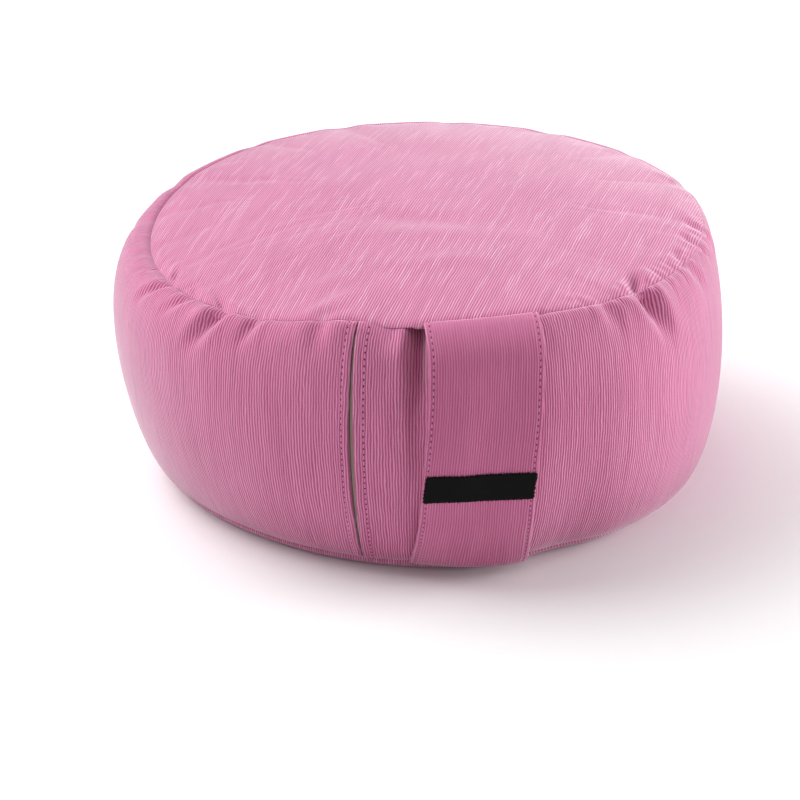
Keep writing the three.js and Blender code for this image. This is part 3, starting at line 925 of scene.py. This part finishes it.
class Finish:
    """A material under construction."""

    def __init__(self, name):
        self.material = bpy.data.materials.new(name)
        self.material.use_nodes = True
        self.tree = self.material.node_tree
        self.shader = self.tree.nodes["Principled BSDF"]

    def node(self, kind, settings=None, values=None, output=0):
        """One node: its type, its settings, its sockets' values or links, and the output to go on with."""
        made = self.tree.nodes.new(kind)
        for name, value in (settings or {}).items():
            setattr(made, name, value)
        for name, value in (values or {}).items():
            self.put(made.inputs[name], value)
        return Value(self, made.outputs[output])

    def put(self, socket, value):
        if isinstance(value, Value):
            self.tree.links.new(value.socket, socket)
        else:
            socket.default_value = value

    def surface(self, values):
        """Give the shader its values and links, by the names of its sockets."""
        for name, value in values.items():
            self.put(self.shader.inputs[name], value)

    def mix(self, factor, first, second):
        """A colour between two colours."""
        return self.node("ShaderNodeMix", {"data_type": "RGBA", "clamp_factor": True},
                         {0: factor, 6: first, 7: second}, 2)

    def noise(self, x, y, detail=1.0):
        """Smooth noise between 0 and 1 at a place."""
        place = self.node("ShaderNodeCombineXYZ", None, {"X": x, "Y": y})
        return self.node("ShaderNodeTexNoise", {"noise_dimensions": "2D"},
                         {"Vector": place, "Scale": 1.0, "Detail": detail})

    def cloth_place(self):
        """Places in the cloth in millimetres, across its ribs and along them."""
        place = self.node("ShaderNodeUVMap", {"uv_map": "cloth"})
        split = self.node("ShaderNodeSeparateXYZ", None, {"Vector": place})
        across = split * (1 / MM)
        along = Value(self, split.socket.node.outputs["Y"]) * (1 / MM)
        return across, along


def ribbed_cotton(name, shade_and_deep_tone, plain, light, waves, top_light_share):
    """Cotton rep: fine ribs that waver, with gaps painted darker as painted shade, a lighter thread here and
    there, painted shade low on a wall, a top disc painted paler as painted sheen and an end painted lighter
    as painted light.
    """
    finish = Finish(name)
    across, along = finish.cloth_place()
    on_disc = along.between(*DISC_FROM)
    # Painted shade: the cloth is painted darker low on the wall
    foot = (0.0 - along).between(*FOOT_PAINTED_SHADE)
    # Painted light: near the strap's upper seam its cloth is painted lighter, as light falling on its
    # upturned top
    painted_top_light = along.between(*STRAP_TOP_PAINTED_LIGHT)
    wander = finish.noise(across * 0.06, along * 0.02, 2.0) - 0.5
    waver = finish.noise(across * 0.35, along * 0.12) - 0.5
    ribs = across / RIB_PITCH + wander * 1.5 + waver * (waves - on_disc * 0.25)
    number = ribs.floor()
    crest = ribs.wave(1) ** 1.4
    heft = finish.noise(number * 7.31, along * 0.025)
    slub = finish.noise(number * 3.17, along * 0.025).between(0.55, 0.72)
    thread = finish.noise(across * 2.2, along * 1.6)
    broad = finish.noise(across * 0.03, along * 0.02, 2.0)
    # Painted shade: the ribs' gaps are painted darker than their crests, as shade in the grooves; heft,
    # thread and broad are the cloth's own uneven tone
    ridge = (crest - 0.43) * (0.65 + heft * 0.6) - foot * 0.3 + painted_top_light * top_light_share
    shade_and_tone_mix = ridge + (heft - 0.5) * 0.4 + (thread - 0.5) * 0.35 + (broad - 0.5) * 0.2 + 0.55
    # The lighter threads are the cloth's own; the top disc is also painted paler overall, as painted sheen
    # from above
    slub_and_top_sheen = slub * crest * (0.08 + on_disc * 0.5) + on_disc * 0.08
    colour = finish.mix(slub_and_top_sheen, finish.mix(shade_and_tone_mix, shade_and_deep_tone, plain), light)
    height = crest * (0.7 + slub * 0.5) + thread * 0.15
    bump = finish.node("ShaderNodeBump", None, {"Strength": 0.6, "Distance": 0.0003, "Height": height})
    finish.surface({"Base Color": colour, "Roughness": 0.8, "Normal": bump, "Specular IOR Level": 0.15,
                    "Sheen Weight": 0.68, "Sheen Roughness": 0.36, "Sheen Tint": (0.9, 1.0, 1.0, 1.0)})
    return finish.material


def linear(red, green, blue):
    """A colour given as it looks on screen, from 0 to 255."""
    return tuple(((c / 255 + 0.055) / 1.055) ** 2.4 for c in (red, green, blue)) + (1.0,)


def woven_black(name):
    """A dense black label weave."""
    finish = Finish(name)
    across, along = finish.cloth_place()
    fuzz = finish.noise(across * 1.5, along * 1.5, 3.0)
    height = across.wave(LABEL_WARP) * 0.5 + along.wave(LABEL_WEFT) * 0.6 + fuzz * 0.5
    colour = finish.mix(height * 0.6, linear(4, 4, 4), linear(22, 21, 20))
    bump = finish.node("ShaderNodeBump", None, {"Strength": 0.6, "Distance": 0.0002, "Height": height})
    finish.surface({"Base Color": colour, "Roughness": 0.9, "Normal": bump, "Specular IOR Level": 0.12})
    return finish.material


def zip_tape_weave(name):
    """Beige-grey zip tape with a fine twill."""
    finish = Finish(name)
    across, along = finish.cloth_place()
    twill = (across + along * 0.8).wave(TAPE_TWILL)
    colour = finish.mix(twill, linear(135, 119, 109), linear(176, 159, 147))
    bump = finish.node("ShaderNodeBump", None, {"Strength": 0.5, "Distance": 0.0002, "Height": twill})
    finish.surface({"Base Color": colour, "Roughness": 0.85, "Normal": bump, "Specular IOR Level": 0.2})
    return finish.material


def thread_finish(name, colour):
    """Sewing thread with a faint twist, also used for the painted shade of the needle holes."""
    finish = Finish(name)
    place = finish.node("ShaderNodeTexCoord", None, None, "Object")
    twist = finish.node("ShaderNodeTexNoise", {"noise_dimensions": "3D"},
                        {"Vector": place, "Scale": 1800.0})
    dark = tuple(c * 0.7 for c in colour[:3]) + (1.0,)
    finish.surface({"Base Color": finish.mix(twist, dark, colour), "Roughness": 0.8,
                    "Specular IOR Level": 0.1})
    return finish.material


def stitch_tree():
    """Geometry nodes that lay a grain-shaped stitch at every pitch along guide lines."""
    tree = bpy.data.node_groups.new("topstitch", "GeometryNodeTree")
    face = tree.interface
    face.new_socket("Guides", in_out="INPUT", socket_type="NodeSocketGeometry")
    for name in ("Pitch", "Length", "Width", "Height"):
        face.new_socket(name, in_out="INPUT", socket_type="NodeSocketFloat")
    face.new_socket("Thread", in_out="INPUT", socket_type="NodeSocketMaterial")
    face.new_socket("Stitches", in_out="OUTPUT", socket_type="NodeSocketGeometry")

    def add(kind, values=None, **settings):
        made = tree.nodes.new(kind)
        for name, value in settings.items():
            setattr(made, name, value)
        for name, value in (values or {}).items():
            if isinstance(value, bpy.types.NodeSocket):
                tree.links.new(value, made.inputs[name])
            else:
                made.inputs[name].default_value = value
        return made

    given = add("NodeGroupInput").outputs
    curve = add("GeometryNodeMeshToCurve", {"Mesh": given["Guides"]}).outputs["Curve"]
    even = add("GeometryNodeResampleCurve", {"Curve": curve, "Length": given["Pitch"]}, mode="LENGTH")
    tangent = add("GeometryNodeInputTangent").outputs["Tangent"]
    facing = add("GeometryNodeInputNamedAttribute", {"Name": "facing"}, data_type="FLOAT_VECTOR")
    along = add("FunctionNodeAlignRotationToVector", {"Vector": tangent}, axis="X")
    upright = add("FunctionNodeAlignRotationToVector",
                  {"Rotation": along.outputs["Rotation"], "Vector": facing.outputs["Attribute"]},
                  axis="Z", pivot_axis="X")
    grain = add("GeometryNodeMeshUVSphere", {"Segments": 8, "Rings": 6, "Radius": 0.5}).outputs["Mesh"]
    size = add("ShaderNodeCombineXYZ", {"X": given["Length"], "Y": given["Width"], "Z": given["Height"]})
    laid = add("GeometryNodeInstanceOnPoints", {
        "Points": even.outputs["Curve"], "Instance": grain, "Rotation": upright.outputs["Rotation"],
        "Scale": size.outputs["Vector"]})
    real = add("GeometryNodeRealizeInstances", {"Geometry": laid.outputs["Instances"]})
    shaded = add("GeometryNodeSetShadeSmooth", {"Geometry": real.outputs["Geometry"]})
    finished = add("GeometryNodeSetMaterial",
                   {"Geometry": shaded.outputs["Geometry"], "Material": given["Thread"]})
    add("NodeGroupOutput", {"Stitches": finished.outputs["Geometry"]})
    return tree


def sewn_lines(name, lines, tree, grain, finish):
    """Grains along guide lines, each line a list of points and the outward directions there."""
    points = np.concatenate([line for line, _ in lines]) * MM
    facing = np.concatenate([out for _, out in lines])
    edges, start = [], 0
    for line, _ in lines:
        edges += [(start + k, start + k + 1) for k in range(len(line) - 1)]
        start += len(line)
    guide = bpy.data.meshes.new(name + "_guide")
    guide.from_pydata(points.tolist(), edges, [])
    guide.attributes.new("facing", "FLOAT_VECTOR", "POINT").data.foreach_set("vector", facing.ravel())
    carrier = bpy.data.objects.new(name + "_guide", guide)
    bpy.context.collection.objects.link(carrier)
    modifier = carrier.modifiers.new("topstitch", "NODES")
    modifier.node_group = tree
    inputs = {item.name: item.identifier for item in tree.interface.items_tree}
    for key, value in grain.items():
        modifier[inputs[key]] = value
    modifier[inputs["Thread"]] = finish
    bpy.context.view_layer.update()
    shown = carrier.evaluated_get(bpy.context.evaluated_depsgraph_get())
    mesh = bpy.data.meshes.new_from_object(shown)
    bpy.data.objects.remove(carrier)
    piece = bpy.data.objects.new(name, mesh)
    bpy.context.collection.objects.link(piece)
    return piece


def between_stitches(line):
    """The guide line less half a stitch at each end, for the painted shade of the needle holes between the
    stitches.
    """
    points, facing = line
    run = np.concatenate([[0], np.cumsum(np.linalg.norm(np.diff(points, axis=0), axis=1))])
    pitch = run[-1] / int(run[-1] / STITCH_PITCH)
    places = np.linspace(pitch / 2, run[-1] - pitch / 2, len(points))

    def moved(values):
        return np.stack([np.interp(places, run, values[:, k]) for k in range(3)], axis=1)

    return moved(points), moved(facing)


def strap_sewing():
    """Guide lines for the strap's two rows of stitches, on its outer face."""
    along = (1 - np.cos(np.pi * np.linspace(*STRAP_SEWN, SEWING_POINTS))) / 2
    lines = []
    for side in (-1, 1):
        across = np.full_like(along, side * (0.5 - STITCH_INSET / STRAP_WIDTH))
        lift = np.full_like(along, STRAP_THICK - STITCH_SINK)
        low = strap_point(across, along, lift)
        lines.append((low, strap_point(across, along, lift + 1) - low))
    return lines


def slit_sewing(settle):
    """Guide lines for the row of stitches on each side of the slit."""
    share = np.linspace(*SLIT_SEWN, SEWING_POINTS)
    lines = []
    for away in SLIT_SEWING:
        turn = SLIT_TURN + np.degrees(away / WALL_RADIUS) + 0 * share
        lines.append((cover_wall(turn, share, settle), wall_normal(turn, cloth_place_down(share))))
    return lines


def studio():
    """A pale floor and soft light from above and from both sides."""
    bpy.ops.mesh.primitive_plane_add(size=FLOOR_SIDE)
    floor = bpy.context.object
    floor.name = "floor"
    pale = Finish("pale_floor")
    pale.surface({"Base Color": FLOOR_TONE, "Roughness": 0.9})
    floor.data.materials.append(pale.material)
    for lamp in LAMPS:
        light = bpy.data.lights.new(lamp["name"], "AREA")
        light.size = lamp["size"]
        light.energy = lamp["power"]
        holder = bpy.data.objects.new(lamp["name"], light)
        holder.location = lamp["at"]
        aim = Vector(LAMP_TARGET) - holder.location
        holder.rotation_euler = aim.to_track_quat("-Z", "Y").to_euler()
        bpy.context.collection.objects.link(holder)
    world = bpy.data.worlds.new("studio")
    world.use_nodes = True
    background = world.node_tree.nodes["Background"]
    background.inputs["Color"].default_value = (1, 1, 1, 1)
    background.inputs["Strength"].default_value = WORLD_STRENGTH
    bpy.context.scene.world = world
    bpy.context.scene.view_settings.view_transform = "Standard"


def photo_camera():
    """The photograph's viewing angle, aimed so that the target falls on its pixel."""
    turn, rise = math.radians(CAMERA_TURN), math.radians(CAMERA_RISE)
    back = Vector((math.sin(turn) * math.cos(rise), -math.cos(turn) * math.cos(rise), math.sin(rise)))
    right = Vector((math.cos(turn), math.sin(turn), 0))
    up = back.cross(right)
    target = Vector(CAMERA_TARGET) * MM
    pixel = CAMERA_FAR * MM / FOCAL_PIXELS
    aim = target - right * (TARGET_PIXEL[0] - IMAGE_SIDE / 2) * pixel
    aim = aim - up * (IMAGE_SIDE / 2 - TARGET_PIXEL[1]) * pixel
    lens = bpy.data.cameras.new("photo_view")
    lens.sensor_width = SENSOR_MM
    lens.lens = FOCAL_PIXELS / IMAGE_SIDE * SENSOR_MM
    camera = bpy.data.objects.new("photo_view", lens)
    camera.location = target + back * CAMERA_FAR * MM
    camera.rotation_euler = (aim - camera.location).to_track_quat("-Z", "Y").to_euler()
    bpy.context.collection.objects.link(camera)
    bpy.context.scene.camera = camera


def dress():
    """Every piece with its finish, and what it stands for."""
    settle_wall, settle_top = settled_cloth()
    cover_rep = ribbed_cotton("cover_rep", COVER_SHADE_AND_DEEP_TONE, COVER_PINK, THREAD_AND_SHEEN_PINK, waves=0.55, top_light_share=0.0)
    # The strap's cloth is a darker copy of the cover's, painted as shade, and is painted lighter at its top
    # as painted light
    shaded_strap_rep = ribbed_cotton("shaded_strap_rep", STRAP_SHADED_DEEP_TONE, STRAP_SHADED_PINK, THREAD_AND_SHEEN_PINK, waves=0.25, top_light_share=0.6)
    thread = thread_finish("pink_thread", THREAD_PINK)
    # Painted shade: a dark finish for the shadowed needle holes
    shadowed = thread_finish("needle_hole_painted_shade", NEEDLE_SHADE)
    cover = build_cover(settle_wall, settle_top)
    strap = build_strap()
    label = build_label()
    tape = build_tape()
    tree = stitch_tree()
    on_strap = strap_sewing()
    on_slit = slit_sewing(settle_wall)
    strap_gaps = [between_stitches(line) for line in on_strap]
    slit_gaps = [between_stitches(line) for line in on_slit]
    strap_stitches = sewn_lines("strap_topstitch", on_strap, tree, STITCH, thread)
    slit_stitches = sewn_lines("slit_topstitch", on_slit, tree, STITCH, thread)
    strap_hole_shade = sewn_lines("strap_needle_hole_shade", strap_gaps, tree, NEEDLE_HOLE_SHADE, shadowed)
    slit_hole_shade = sewn_lines("slit_needle_hole_shade", slit_gaps, tree, NEEDLE_HOLE_SHADE, shadowed)
    cover.data.materials.append(cover_rep)
    strap.data.materials.append(shaded_strap_rep)
    label.data.materials.append(woven_black("label_weave"))
    tape.data.materials.append(zip_tape_weave("tape_weave"))
    pieces = [
        (cover, "cover_cloth", "filled_cover"),
        (strap, "strap_cloth", "carry_strap"),
        (label, "label_cloth", "woven_label"),
        (tape, "zip_tape_cloth", "zip_tape"),
        (strap_stitches, "strap_cloth", None),
        (strap_hole_shade, "strap_cloth", None),
        (slit_stitches, "cover_cloth", None),
        (slit_hole_shade, "cover_cloth", None),
    ]
    for piece, slot, node in pieces:
        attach(piece, "root")
        if node:
            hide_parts(node)


photo_camera()
studio()
dress()

bpy.context.view_layer.update()
